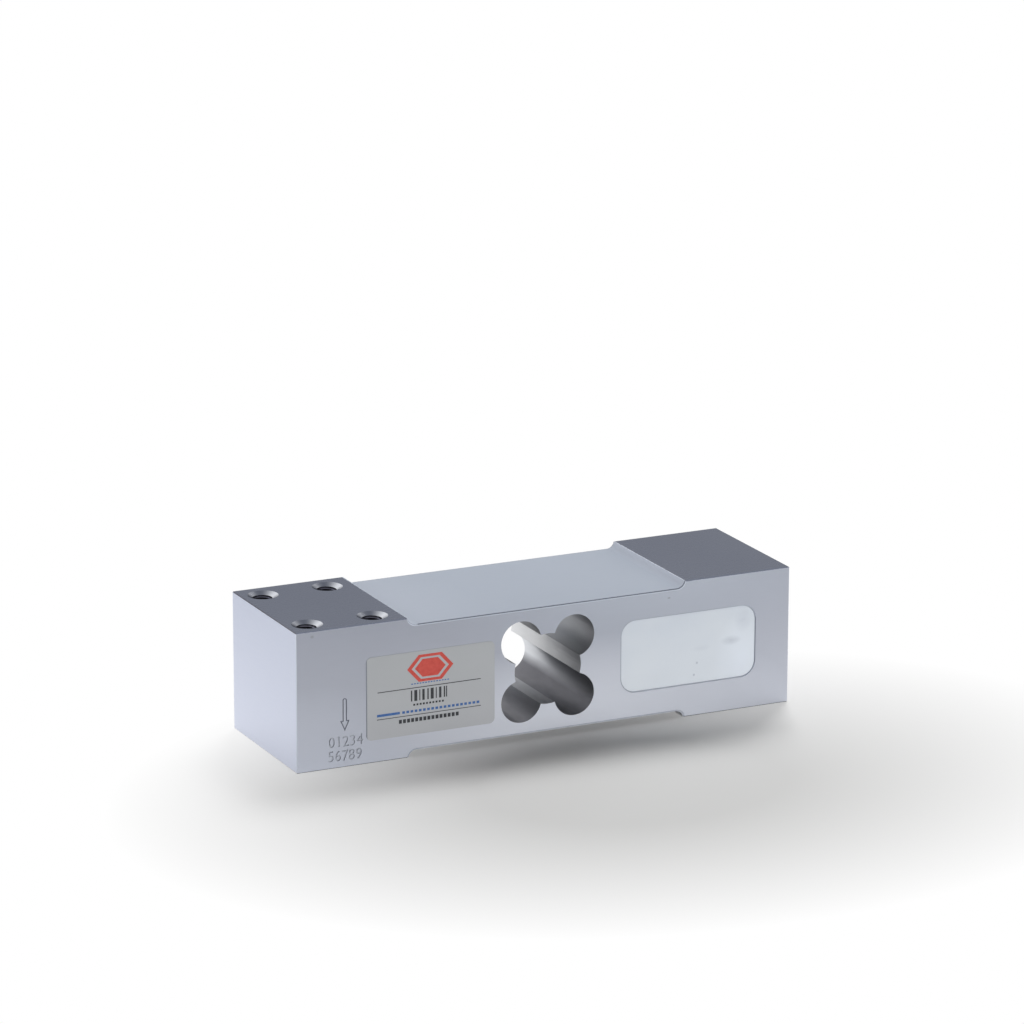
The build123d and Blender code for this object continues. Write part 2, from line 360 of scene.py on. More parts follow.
def bored_metal(name):
    """The flexure's bored walls: dull metal, with painted tones that stand for light from behind."""
    material, tree, shader = new_finish(name, tone(110, 112, 117), 0.8, 0.45)
    fine = grain(tree, (900, 260, 900), detail=2.0)
    # Painted shade at the near side, turning to painted light deeper in
    depth = spread(tree, own_axis(tree, "Y"), 0.0, 1.0, BORE_SHADED_Y, BORE_BRIGHT_Y)
    colour = blend(tree, depth, tone(122, 122, 126), tone(206, 209, 214))
    mouth = spot(tree, BORE_MOUTH, BORE_MOUTH_SIZE, soft=0.25)
    colour = blend(tree, mouth, colour, tone(248, 250, 254))
    strip = spot(tree, BORE_STRIP, BORE_STRIP_SIZE, soft=0.5)
    strip_tone = blend(tree, depth, tone(146, 147, 149), tone(230, 231, 233))
    colour = blend(tree, strip, colour, strip_tone)
    # Painted shade on the low lobes, deeper towards the fixed end
    low = spread(tree, own_axis(tree, "Z"), 1.0, 0.0, LOW_LOBE_Z - LOW_LOBE_FADE, LOW_LOBE_Z)
    across = spread(tree, own_axis(tree, "X"), 0.0, 1.0, -BORE_REACH / 2, BORE_REACH / 2)
    low_tone = blend(tree, across, tone(142, 142, 148), tone(119, 119, 125))
    tree.links.new(blend(tree, low, colour, low_tone), shader.inputs["Base Color"])
    tree.links.new(spread(tree, fine, 0.4, 0.48), shader.inputs["Roughness"])
    relief(tree, shader, fine, 0.0006 * MM)
    return material


# Areas of tone on the sides, in millimetres: the centre, reach and shade of each. The first
# three are broad areas of painted light, and the last two are small dull marks
SIDE_PAINTED_LIGHT_AND_MARKS = (
    ((30, -22, 42), (68, 40, 26), tone(182, 188, 200)),
    ((8, -22, -2), (72, 60, 30), tone(236, 240, 250)),
    ((-72, -22, -14), (46, 40, 38), tone(212, 217, 230)),
    ((-70.2, -22, 37.95), (0.7, 1, 0.55), tone(152, 156, 164)),
    ((37.2, -22, 35.2), (0.6, 1, 0.3), tone(150, 154, 164)),
)

# Painted light on the covers, in the same form: a lighter load end's half, and lighter rising ends by the
# fixed end's pads
COVER_PAINTED_LIGHT = (
    ((-48, 0, 37), (34, 60, 20), tone(192, 199, 212)),
    ((42.5, 0, 39.7), (3.9, 60, 3.0), tone(213, 219, 231)),
    ((42.5, 0, -0.2), (5.0, 60, 4.0), tone(252, 253, 255)),
)

# Sides: painted light towards the foot and in three broad areas, and two small dull marks
SIDE = metal(
    "satin_side", tone(166, 170, 182), tone(171, 175, 187), roughness=0.46,
    lines=(180, 900, 5200), line_height=0.0006 * MM, metallic=0.5,
    foot=tone(202, 206, 217), painted_light_and_marks=SIDE_PAINTED_LIGHT_AND_MARKS,
)
# End faces: their milled tone made paler as painted light, and lighter still towards the foot, also painted
# light
END = metal(
    "milled_end", tone(205, 211, 228), tone(208, 214, 231), roughness=0.42,
    lines=(900, 260, 5200), line_height=0.0006 * MM, metallic=0.6, foot=tone(227, 232, 248),
)
PAD = metal(
    "skimmed_pad", tone(110, 116, 133), tone(113, 119, 135), roughness=0.24,
    lines=(260, 5200, 900), line_height=0.0002 * MM, shine=0.6,
)
BORE = bored_metal("bored_wall")
SINK = countersunk_metal("countersunk_rim")
THREAD = metal(
    "tapped_thread", tone(72, 72, 84), tone(92, 92, 102), roughness=0.35,
    lines=(900, 900, 5200), line_height=0.0005 * MM,
)
EDGE = metal(
    "broken_edge", tone(202, 209, 221), tone(212, 218, 230), roughness=0.42,
    lines=(900, 900, 900), line_height=0.0005 * MM, metallic=0.6,
)
STAMPED = metal(
    "stamped_groove", tone(204, 209, 218), tone(212, 217, 226), roughness=0.42,
    lines=(2000, 2000, 2000), line_height=0.002 * MM,
)
SCRIBED = metal(
    "scribed_line", tone(132, 136, 150), tone(142, 146, 160), roughness=0.45,
    lines=(2000, 2000, 2000), line_height=0.002 * MM, metallic=0.5,
)
# Covers: with areas of painted light
COVER = metal(
    "cover_sheet", tone(182, 190, 203), tone(186, 194, 207), roughness=0.68,
    lines=(240, 3400, 900), line_height=0.0006 * MM, metallic=0.35, painted_light_and_marks=COVER_PAINTED_LIGHT,
)

# On the potting's skin, in millimetres: a corner of painted light, its smudges and its specks
PAINTED_LIGHT_CORNER = ((60.0, -21.9, 14.0), (9.0, 6.0, 14.0), tone(232, 239, 249))
SMUDGES = (
    ((56.8, -21.9, 20.4), (3.4, 4.0, 1.5), tone(174, 181, 193), 0.55),
    ((47.4, -21.9, 19.3), (3.2, 4.0, 1.1), tone(192, 199, 210), 0.2),
    ((60.5, -21.9, 26.0), (3.0, 4.0, 4.0), tone(192, 199, 212), 0.55),
)
SPECKS = ((46.2, -21.9, 15.2), (45.3, -21.9, 11.8))
SPECK_SIZE = (0.4, 1.0, 0.45)
SPECK_TONE = tone(196, 203, 214)


def silicone(name):
    """White potting: glossy skin with faint clouds, painted light towards the foot and in one corner, three
    smudges and two specks.
    """
    material, tree, shader = new_finish(name, tone(212, 219, 228), 0.0, 0.32)
    clouds = spread(tree, grain(tree, (60, 60, 90), detail=2.0), 0.0, 1.0)
    colour = blend(tree, clouds, tone(202, 210, 221), tone(211, 218, 226))
    # Painted light: lighter towards the foot
    colour = blend(tree, height_mask(tree), colour, tone(236, 242, 249))
    # Painted light in the lower corner by the fixed end
    lit_corner_centre, lit_corner_size, lit_corner_tone = PAINTED_LIGHT_CORNER
    corner = spot(tree, in_mm(lit_corner_centre), in_mm(lit_corner_size))
    colour = blend(tree, corner, colour, lit_corner_tone)
    for centre, size, shade, strength in SMUDGES:
        cloud = spot(tree, in_mm(centre), in_mm(size))
        rough = spread(tree, grain(tree, (300, 300, 420), detail=2.0), 0.3, strength, 0.3, 0.6)
        colour = blend(tree, reckon(tree, "MULTIPLY", cloud, rough), colour, shade)
    for centre in SPECKS:
        speck = spot(tree, in_mm(centre), in_mm(SPECK_SIZE), soft=0.5)
        colour = blend(tree, speck, colour, SPECK_TONE)
    tree.links.new(colour, shader.inputs["Base Color"])
    tree.links.new(spread(tree, clouds, 0.27, 0.37, 0.0, 1.0), shader.inputs["Roughness"])
    relief(tree, shader, grain(tree, (260, 260, 260)), 0.02 * MM)
    return material


def foil(name):
    """Label stock: pale warm grey film with a faint drift and fine tooth, painted shade towards its top and
    a strip of painted shade along its left edge.
    """
    material, tree, shader = new_finish(name, tone(168, 171, 172), 0.35, 0.45)
    drift = spread(tree, grain(tree, (40, 40, 70), detail=1.0), 0.0, 1.0)
    tooth = grain(tree, (3000, 3000, 3000), detail=1.0)
    colour = blend(tree, drift, tone(192, 194, 198), tone(199, 201, 205))
    # Painted shade: darker towards the top
    upper = spread(tree, own_axis(tree, "Z"), 0.0, 1.0, LABEL_LOW[2], LABEL_HIGH[2])
    colour = blend(tree, upper, colour, tone(181, 184, 187))
    # A strip of painted shade along the left edge
    shade_start = LABEL_LOW[0] + LABEL_EDGE_SHADE_START
    shade_end = LABEL_LOW[0] + LABEL_EDGE_SHADE_END
    left_edge_shade = spread(tree, own_axis(tree, "X"), 1.0, 0.0, shade_start, shade_end)
    colour = blend(tree, left_edge_shade, colour, tone(140, 145, 155))
    tree.links.new(colour, shader.inputs["Base Color"])
    tree.links.new(spread(tree, tooth, 0.40, 0.50), shader.inputs["Roughness"])
    relief(tree, shader, tooth, 0.002 * MM)
    return material


def etched_grid(name):
    """Strain gauge foil: parallel lines along the beam with film showing between them."""
    material, tree, shader = new_finish(name, tone(176, 168, 148), 1.0, 0.3)
    waves = tree.nodes.new("ShaderNodeTexWave")
    waves.bands_direction = "Y"
    waves.inputs["Scale"].default_value = 900.0
    tree.links.new(own_place(tree), waves.inputs["Vector"])
    lines = spread(tree, waves.outputs["Fac"], 0.0, 1.0, 0.4, 0.6)
    colour = blend(tree, lines, tone(150, 116, 72), tone(182, 174, 154))
    tree.links.new(colour, shader.inputs["Base Color"])
    relief(tree, shader, lines, 0.01 * MM)
    return material


POTTING = silicone("white_potting")
# The potting's lip along the wall is grey: painted shade in the gap at the wall
POTTING_RIM_SHADE = soft_solid("potting_rim_painted_shade", tone(168, 174, 186), tone(176, 182, 194), 0.4, 500)
FOIL = foil("label_film")
RED_INK = soft_solid("red_ink", tone(196, 74, 66), tone(208, 88, 78), 0.45, 900)
BLUE_INK = soft_solid("blue_ink", tone(58, 98, 160), tone(76, 114, 172), 0.45, 900)
BLACK_INK = soft_solid("black_ink", tone(44, 46, 50), tone(62, 64, 68), 0.45, 900)
# Sealant beads in two tones: the dark grey upper one is partly painted shade along the upper cover's edge,
# and the pale lower one is painted light where the block's underside shades it
SEAL = soft_solid("sealant_partly_painted_shade", tone(102, 109, 122), tone(122, 129, 142), 0.5, 1400, 0.01 * MM)
SEAL_PAINTED_LIGHT = soft_solid("sealant_painted_light", tone(186, 190, 200), tone(196, 200, 210), 0.5, 1400, 0.01 * MM)
RUBBER = soft_solid("black_rubber", tone(34, 34, 35), tone(46, 46, 48), 0.62, 1600, 0.01 * MM)
CLEAR_GEL = soft_solid("clear_gel", tone(206, 206, 200), tone(216, 216, 210), 0.2, 240, 0.02 * MM)
AMBER_FILM = soft_solid("amber_film", tone(192, 122, 40), tone(206, 136, 52), 0.35, 700)
COPPER = soft_solid("tinned_copper", tone(196, 132, 92), tone(206, 150, 112), 0.3, 900, 0.0, 1.0)
ENAMELLED = soft_solid("enamelled_copper", tone(176, 92, 54), tone(190, 104, 62), 0.3, 900, 0.0, 1.0)
BOARD = soft_solid("solder_mask", tone(30, 92, 52), tone(38, 104, 60), 0.35, 500, 0.01 * MM)
CHIP = soft_solid("chip_ceramic", tone(40, 40, 44), tone(58, 58, 62), 0.5, 1500, 0.004 * MM)
CONSTANTAN = etched_grid("etched_constantan")


# Making pieces

def add_piece(name, bm, materials, replaced=()):
    """Makes the finished mesh a piece that rides on the body."""
    mesh = bpy.data.meshes.new(name)
    bm.to_mesh(mesh)
    bm.free()
    for material in materials:
        mesh.materials.append(material)
    piece = bpy.data.objects.new(name, mesh)
    bpy.context.scene.collection.objects.link(piece)
    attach(piece, BODY)
    for node in replaced:
        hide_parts(node)
    return piece


def merged_copy(node):
    """The CAD node's skin with its loose triangles merged and its flats made whole."""
    bm = bmesh.new()
    bm.from_mesh(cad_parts[node].data)
    bmesh.ops.remove_doubles(bm, verts=bm.verts[:], dist=MERGE_DISTANCE)
    bmesh.ops.dissolve_limit(
        bm, angle_limit=FLAT_ANGLE, use_dissolve_boundaries=False,
        verts=bm.verts[:], edges=bm.edges[:], delimit=set(),
    )
    for face in bm.faces:
        face.material_index = 0
    return bm


def shown_mesh(source):
    """The mesh that an object shows, with its cuts made or its text filled in."""
    depsgraph = bpy.context.evaluated_depsgraph_get()
    return bpy.data.meshes.new_from_object(source.evaluated_get(depsgraph))


def join_into(bm, part):
    """Adds one small mesh to another and frees it."""
    mesh = bpy.data.meshes.new("part")
    part.to_mesh(mesh)
    part.free()
    bm.from_mesh(mesh)
    bpy.data.meshes.remove(mesh)


def move(bm, x, y, z):
    """Shifts a whole mesh."""
    bmesh.ops.translate(bm, vec=(x, y, z), verts=bm.verts[:])


def turn(bm, angle, axis):
    """Turns a whole mesh about the origin."""
    bmesh.ops.rotate(bm, cent=(0, 0, 0), matrix=Matrix.Rotation(angle, 3, axis), verts=bm.verts[:])


def thicken(bm, depth):
    """Gives a flat upright shape its thickness, towards the far side."""
    grown = bmesh.ops.extrude_face_region(bm, geom=bm.faces[:])
    moved = [item for item in grown["geom"] if isinstance(item, bmesh.types.BMVert)]
    bmesh.ops.translate(bm, vec=(0, depth, 0), verts=moved)
    bmesh.ops.recalc_face_normals(bm, faces=bm.faces[:])


def cut_away(piece, cutter_bm):
    """Cuts a closed cutter out of a piece and keeps the result as its mesh."""
    mesh = bpy.data.meshes.new("cutter")
    cutter_bm.to_mesh(mesh)
    cutter_bm.free()
    cutter = bpy.data.objects.new("cutter", mesh)
    bpy.context.scene.collection.objects.link(cutter)
    step = piece.modifiers.new("cut", "BOOLEAN")
    step.operation = "DIFFERENCE"
    step.solver = "EXACT"
    step.object = cutter
    result = shown_mesh(piece)
    piece.modifiers.clear()
    old = piece.data
    piece.data = result
    bpy.data.meshes.remove(old)
    bpy.data.objects.remove(cutter)
    bpy.data.meshes.remove(mesh)


def smooth_but_edges(piece, angle=SHARP_ANGLE, flat_area=FLAT_AREA):
    """Smooth shading on curves, with every real edge and every broad flat left crisp."""
    piece.data.shade_smooth()
    piece.data.set_sharp_from_angle(angle=angle)
    for face in piece.data.polygons:
        if face.area > flat_area and max(abs(side) for side in face.normal) > DEAD_SQUARE:
            face.use_smooth = False


# The block

def hole_centres(outer_x, inward):
    """The four hole centres of one end, from its outer face inwards."""
    for across in (-1, 1):
        for step in (0, 1):
            x = outer_x + inward * (HOLE_END_MARGIN + step * HOLE_SPACING_X)
            yield x, across * HOLE_SPACING_Y / 2


LOAD_HOLES = list(hole_centres(LEFT, 1))
FIXED_HOLES = list(hole_centres(RIGHT, -1))


def thread_tap(bm, x, y, start_z, direction):
    """A helical cutter that leaves one tapped thread, from start_z along direction."""
    tap = bmesh.new()
    groove = ((THREAD_CUT_MINOR, 0.0), (THREAD_MAJOR, 0.5), (THREAD_CUT_MINOR, 1.0))
    profile = [tap.verts.new((radius, 0.0, share * THREAD_PITCH)) for radius, share in groove]
    flanks = [tap.edges.new(pair) for pair in zip(profile, profile[1:])]
    turns = int(THREAD_LENGTH / THREAD_PITCH) + 2
    bmesh.ops.spin(
        tap, geom=profile + flanks, cent=(0, 0, 0), axis=(0, 0, 1),
        dvec=(0, 0, THREAD_PITCH / THREAD_STEPS), angle=math.tau * turns,
        steps=THREAD_STEPS * turns, use_merge=False, use_duplicate=False,
    )
    bmesh.ops.remove_doubles(tap, verts=tap.verts[:], dist=MERGE_DISTANCE)
    for cut_z, keeps_upper in ((THREAD_LEAD, True), (THREAD_LEAD + THREAD_LENGTH, False)):
        bmesh.ops.bisect_plane(
            tap, geom=tap.verts[:] + tap.edges[:] + tap.faces[:],
            plane_co=(0, 0, cut_z), plane_no=(0, 0, 1),
            clear_inner=keeps_upper, clear_outer=not keeps_upper,
        )
    rims = [edge for edge in tap.edges if edge.is_boundary]
    bmesh.ops.holes_fill(tap, edges=rims, sides=0)
    move(tap, 0, 0, -THREAD_LEAD)
    if direction < 0:
        turn(tap, math.pi, "X")
    move(tap, x, y, start_z)
    bmesh.ops.recalc_face_normals(tap, faces=tap.faces[:])
    join_into(bm, tap)


def raise_cutter(part):
    """Gives a flat shape on Y = 0 the thickness of a mark, set across the near face."""
    move(part, 0, NEAR - MARK_OVERSHOOT, 0)
    thicken(part, MARK_OVERSHOOT + MARK_DEPTH)


def arrow_cutter(bm):
    """The outline of a load arrow that points down, as a narrow raised line."""
    arrow = bmesh.new()
    half_shaft = ARROW_SHAFT_WIDTH / 2
    round_z = ARROW_TOP_Z - half_shaft
    corners = (
        (0.0, ARROW_TIP_Z), (ARROW_HEAD_WIDTH / 2, ARROW_HEAD_Z),
        (half_shaft, ARROW_HEAD_Z), (half_shaft, round_z),
    )
    verts = [arrow.verts.new((x, 0.0, z)) for x, z in corners]
    for pair in zip(verts, verts[1:]):
        arrow.edges.new(pair)
    bmesh.ops.spin(
        arrow, geom=[verts[-1]], cent=(0, 0, round_z), axis=(0, -1, 0),
        angle=math.pi / 2, steps=ARROW_END_STEPS,
    )
    outline = arrow.verts[:] + arrow.edges[:]
    bmesh.ops.mirror(arrow, geom=outline, axis="X", merge_dist=MERGE_DISTANCE)
    bmesh.ops.remove_doubles(arrow, verts=arrow.verts[:], dist=MERGE_DISTANCE)
    bmesh.ops.contextual_create(arrow, geom=arrow.edges[:])
    inside = arrow.faces[:][0]
    bmesh.ops.inset_region(
        arrow, faces=[inside], thickness=ARROW_LINE, use_boundary=True, use_even_offset=True
    )
    bmesh.ops.delete(arrow, geom=[inside], context="FACES")
    raise_cutter(arrow)
    move(arrow, LEFT + ARROW_X, 0, 0)
    join_into(bm, arrow)


def digit_shape(character, height):
    """One plain numeral as a flat mesh that stands on Z = 0 and starts at X = 0."""
    curve = bpy.data.curves.new("digit", "FONT")
    curve.body = character
    curve.size = height / DIGIT_SHARE_OF_SIZE
    curve.resolution_u = DIGIT_CURVE_STEPS
    holder = bpy.data.objects.new("digit", curve)
    bpy.context.scene.collection.objects.link(holder)
    bpy.context.view_layer.update()
    mesh = shown_mesh(holder)
    bpy.data.objects.remove(holder)
    bpy.data.curves.remove(curve)
    shape = bmesh.new()
    shape.from_mesh(mesh)
    bpy.data.meshes.remove(mesh)
    bmesh.ops.remove_doubles(shape, verts=shape.verts[:], dist=MERGE_DISTANCE)
    turn(shape, math.pi / 2, "X")
    return shape


def digits_cutter(bm):
    """Two rows of plain numerals, each struck a little out of line."""
    chance = random.Random(STRIKE_SEED)
    for row, left, base, height in DIGIT_ROWS:
        for place, character in enumerate(row):
            shape = digit_shape(character, height)
            bmesh.ops.scale(shape, vec=(DIGIT_NARROWING, 1, 1), verts=shape.verts[:])
            turn(shape, chance.uniform(-DIGIT_TURN, DIGIT_TURN), "Y")
            raise_cutter(shape)
            slip = Vector((chance.uniform(-1, 1), 0, chance.uniform(-1, 1))) * DIGIT_SLIP
            corner = Vector((LEFT + left + place * DIGIT_STEP, 0, base))
            move(shape, *(corner + slip))
            join_into(bm, shape)


BLOCK_FINISHES = [SIDE, END, PAD, BORE, SINK, THREAD, EDGE, STAMPED, SCRIBED]


def from_hole(centre):
    """How far a point is from the axis of the nearest tapped hole."""
    holes = LOAD_HOLES if centre.x < 0 else FIXED_HOLES
    return min(math.hypot(centre.x - x, centre.y - y) for x, y in holes)


def in_marks(centre):
    """Whether a point is down in the arrow's line or in a numeral."""
    by_marks = MARKS_START < centre.x - LEFT < MARKS_END and centre.z < MARKS_TOP
    return by_marks and 0 < centre.y - NEAR < MARKS_INWARD


def block_finish(centre, normal):
    """The finish that the machining leaves on a face of the block."""
    below_skin = min(centre.z, TOP - centre.z)
    if below_skin < EDGE_BREAK and abs(normal.z) > SQUARE_ON:
        return PAD
    if min(centre.x - LEFT, RIGHT - centre.x) < FACE_GAP and abs(normal.x) > SQUARE_ON:
        return END
    if min(centre.y - NEAR, FAR - centre.y) < FACE_GAP and abs(normal.y) > SQUARE_ON:
        return SIDE
    if in_marks(centre):
        on_numeral_floor = abs(normal.y) > HALF_TURNED and centre.z < NUMERALS_TOP
        return STAMPED if on_numeral_floor else SCRIBED
    if from_hole(centre) < COUNTERSINK_RADIUS:
        on_cone = abs(normal.z) > CONE_STEEPNESS and below_skin < COUNTERSINK_DEPTH
        return SINK if on_cone else THREAD
    if abs(centre.x) < BORE_REACH and abs(normal.y) < EDGE_ON:
        return BORE
    if max(abs(side) for side in normal) > SQUARE_ON:
        return SIDE
    if below_skin < EDGE_BREAK:
        return PAD if abs(normal.y) > HALF_TURNED else THREAD
    return EDGE


def part_finishes(block):
    """Makes every edge between two finishes a crisp one."""
    bm = bmesh.new()
    bm.from_mesh(block.data)
    for edge in bm.edges:
        if len({face.material_index for face in edge.link_faces}) > 1:
            edge.smooth = False
    bm.to_mesh(block.data)
    bm.free()


def mark_bright_flanks(block):
    """Writes on each countersink's skin how bright it is, most on its right and some on its left."""
    brightness = block.data.attributes.new(BRIGHTNESS, "FLOAT", "POINT")
    for vert, share in zip(block.data.vertices, brightness.data):
        for x, y in LOAD_HOLES + FIXED_HOLES:
            away = Vector((vert.co.x - x, vert.co.y - y))
            if away.length < COUNTERSINK_RADIUS + MERGE_DISTANCE:
                heading = math.atan2(away.y, away.x)
                share.value = max(
                    strength * max(0.0, math.cos(heading - flank)) ** tightness
                    for flank, strength, tightness in BRIGHT_FLANKS
                )


def make_block():
    """The spring body: the CAD skin with its threads cut and its marks stamped."""
    bm = merged_copy("spring_body")
    block = add_piece("machined_block", bm, BLOCK_FINISHES, ["spring_body"])
    taps = bmesh.new()
    for x, y in LOAD_HOLES:
        thread_tap(taps, x, y, TOP - THREAD_START, -1)
    for x, y in FIXED_HOLES:
        thread_tap(taps, x, y, THREAD_START, 1)
    cut_away(block, taps)
    marks = bmesh.new()
    arrow_cutter(marks)
    digits_cutter(marks)
    cut_away(block, marks)
    smooth_but_edges(block)
    for face in block.data.polygons:
        finish = block_finish(face.center, face.normal)
        face.material_index = BLOCK_FINISHES.index(finish)
        if finish not in (BORE, SINK, THREAD):
            face.use_smooth = False
    part_finishes(block)
    mark_bright_flanks(block)


# The potting

def front_faces(bm, face_y):
    """The potting's faces that lie in its front plane."""
    facing = [face for face in bm.faces if face.normal.y < -SQUARE_ON]
    return [face for face in facing if face.calc_center_median().y < face_y + FACE_GAP]


def cut_into_cells(bm, face_y, axis, start, end):
    """Cuts the potting's front across one axis at equal steps, so that it can be waved."""
    along = Vector((0, 0, 0))
    along[axis] = 1
    count = int((end - start) / POTTING_CELL)
    for step in range(1, count + 1):
        place = along * (start + (end - start) * step / (count + 1))
        faces = front_faces(bm, face_y)
        edges = dict.fromkeys(edge for face in faces for edge in face.edges)
        verts = dict.fromkeys(vert for face in faces for vert in face.verts)
        bmesh.ops.bisect_plane(
            bm, geom=faces + list(edges) + list(verts), plane_co=place, plane_no=along
        )


def make_potting():
    """Silicone in the pocket: rounded down at the wall, its face not quite flat."""
    low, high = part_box("pocket_potting")
    face_y = low[1]
    bm = merged_copy("pocket_potting")
    front = front_faces(bm, face_y)
    lip = bmesh.ops.inset_region(bm, faces=front, thickness=POTTING_LIP, use_even_offset=True)
    # The lip takes the grey of painted shade
    for face in lip["faces"]:
        face.material_index = 1
    inner = {vert for face in front for vert in face.verts}
    in_front = [vert for vert in bm.verts if abs(vert.co.y - face_y) < FACE_GAP]
    outer = [vert for vert in in_front if vert not in inner]
    bmesh.ops.translate(bm, vec=(0, POTTING_DROP, 0), verts=outer)
    for axis in (0, 2):
        cut_into_cells(bm, face_y, axis, low[axis], high[axis])
    for vert in bm.verts:
        if abs(vert.co.y - face_y) < FACE_GAP:
            place = (vert.co.x * POTTING_WAVES_X, POTTING_WAVE_SLICE, vert.co.z * POTTING_WAVES_Z)
            wave = noise.noise(Vector(place))
            vert.co.y += POTTING_WAVE * (0.5 + wave)
    materials = [POTTING, POTTING_RIM_SHADE]
    piece = add_piece("silicone_potting", bm, materials, ["pocket_potting"])
    smooth_but_edges(piece, POTTING_SHARP_ANGLE, flat_area=NO_FLATS)


# The label and its print

def make_label():
    """The foil plate itself, with round corners and its edges a touch rolled."""
    bm = bmesh.new()
    size = Vector(LABEL_HIGH) - Vector(LABEL_LOW)
    middle = (Vector(LABEL_HIGH) + Vector(LABEL_LOW)) / 2
    bmesh.ops.create_grid(bm, x_segments=1, y_segments=1, size=0.5)
    bmesh.ops.scale(bm, vec=(size.x, size.z, 1), verts=bm.verts[:])
    bmesh.ops.bevel(
        bm, geom=bm.verts[:], offset=LABEL_CORNER, segments=LABEL_CORNER_STEPS,
        affect="VERTICES", profile=0.5, material=-1,
    )
    turn(bm, math.pi / 2, "X")
    move(bm, middle.x, NEAR - FOIL_THICKNESS, middle.z)
    thicken(bm, FOIL_THICKNESS)
    rim = [
        edge for edge in bm.edges
        if all(vert.co.y < NEAR - FOIL_THICKNESS / 2 for vert in edge.verts)
    ]
    bmesh.ops.bevel(
        bm, geom=rim, offset=LABEL_EDGE_ROUND, segments=2, affect="EDGES", profile=0.5, material=-1,
    )
    piece = add_piece("label_foil", bm, [FOIL], ["rating_label"])
    smooth_but_edges(piece)


def bar(bm, left, right, low, high):
    """One printed bar, in millimetres from the label's lower left corner."""
    size = ((right - left) * MM, INK_THICKNESS, (high - low) * MM)
    centre = (
        LABEL_LOW[0] + (left + right) / 2 * MM,
        INK_FACE + INK_THICKNESS / 2,
        LABEL_LOW[2] + (low + high) / 2 * MM,
    )
    bmesh.ops.create_cube(bm, size=1.0, matrix=Matrix.Translation(centre) @ Matrix.Diagonal((*size, 1)))


def dashes(bm, left, right, low, high, count, gap_share):
    """A row of equal printed dashes."""
    step = (right - left) / count
    for number in range(count):
        start = left + number * step
        bar(bm, start, start + step * (1 - gap_share), low, high)


def print_bars(name, ink, bars, dash_rows):
    """Everything that one ink prints in bars and dashes, as one piece."""
    bm = bmesh.new()
    for sides in bars:
        bar(bm, *sides)
    for row in dash_rows:
        dashes(bm, *row)
    add_piece(name, bm, [ink])


def print_red_mark():
    """A six-sided block inside a ring of the same shape."""
    bm = bmesh.new()
    point_up = Matrix.Rotation(math.pi / 6, 4, "Z")
    bmesh.ops.create_circle(bm, cap_ends=True, segments=6, radius=1.0, matrix=point_up)
    core = bm.faces[:]
    bmesh.ops.inset_region(
        bm, faces=core, thickness=RED_RING_SHARE, use_boundary=True, use_even_offset=True
    )
    gap = bmesh.ops.inset_region(bm, faces=core, thickness=RED_GAP_SHARE, use_even_offset=True)
    bmesh.ops.delete(bm, geom=gap["faces"], context="FACES")
    bmesh.ops.scale(bm, vec=(*in_mm(RED_MARK_REACH), 1), verts=bm.verts[:])
    turn(bm, math.pi / 2, "X")
    across, up = in_mm(RED_MARK_CENTRE)
    move(bm, LABEL_LOW[0] + across, INK_FACE, LABEL_LOW[2] + up)
    thicken(bm, INK_THICKNESS)
    add_piece("label_print_red", bm, [RED_INK])


def make_print():
    """Plain printed blocks, rules and dashes in red, blue and black ink."""
    print_red_mark()
    print_bars("label_print_blue", BLUE_INK, BLUE_BARS, BLUE_DASHES)
    uprights = [(left, right, UPRIGHTS_LOW, UPRIGHTS_HIGH) for left, right in UPRIGHTS]
    print_bars("label_print_black", BLACK_INK, BLACK_BARS + uprights, BLACK_DASHES)


# Sealant under the covers' edges

def make_seal(name, cover_node, finish):
    """A thin bead of sealant along both long edges of a gauge cover."""
    bm = merged_copy(cover_node)
    others = [face for face in bm.faces if abs(face.normal.y) <= SQUARE_ON]
    bmesh.ops.delete(bm, geom=others, context="FACES")
    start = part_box(cover_node)[0][0] + SEAL_START
    geometry = bm.verts[:] + bm.edges[:] + bm.faces[:]
    bmesh.ops.bisect_plane(
        bm, geom=geometry, plane_co=(start, 0, 0), plane_no=(1, 0, 0), clear_inner=True
    )
    grown = bmesh.ops.extrude_face_region(bm, geom=bm.faces[:])
    for item in grown["geom"]:
        if isinstance(item, bmesh.types.BMVert):
            item.co.y += math.copysign(SEAL_WIDTH, item.co.y)
    bmesh.ops.recalc_face_normals(bm, faces=bm.faces[:])
    add_piece(name, bm, [finish])


# Solids carried over from the CAD, by a word in their names

CARRIED_FINISHES = (
    ("gauge_cover", COVER),
    ("inlet_bush", RUBBER),
    ("board", BOARD),
    ("resistor", CHIP),
    ("gauge_backing", AMBER_FILM),
    ("gauge_grid", CONSTANTAN),
    ("terminal", COPPER),
    ("gauge_coating", CLEAR_GEL),
    ("gauge_jumpers", ENAMELLED),
    ("lead_ribbon", ENAMELLED),
)


def finish_carried_nodes():
    """Gives each CAD solid that stays its own finish."""
    for name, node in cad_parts.items():
        for word, finish in CARRIED_FINISHES:
            if word in name:
                node.data.materials.clear()
                node.data.materials.append(finish)


# Studio

# The floor keeps its own tone in a pool about the block and is white beyond it
FLOOR_TONE = tone(232, 232, 231)
FLOOR_HALF_WIDTH = 3.0
FLOOR_POOL = (0.004, -0.066, 0)
FLOOR_POOL_SIZE = (0.145, 0.115, 0.2)
WORLD_LEVEL = 0.12

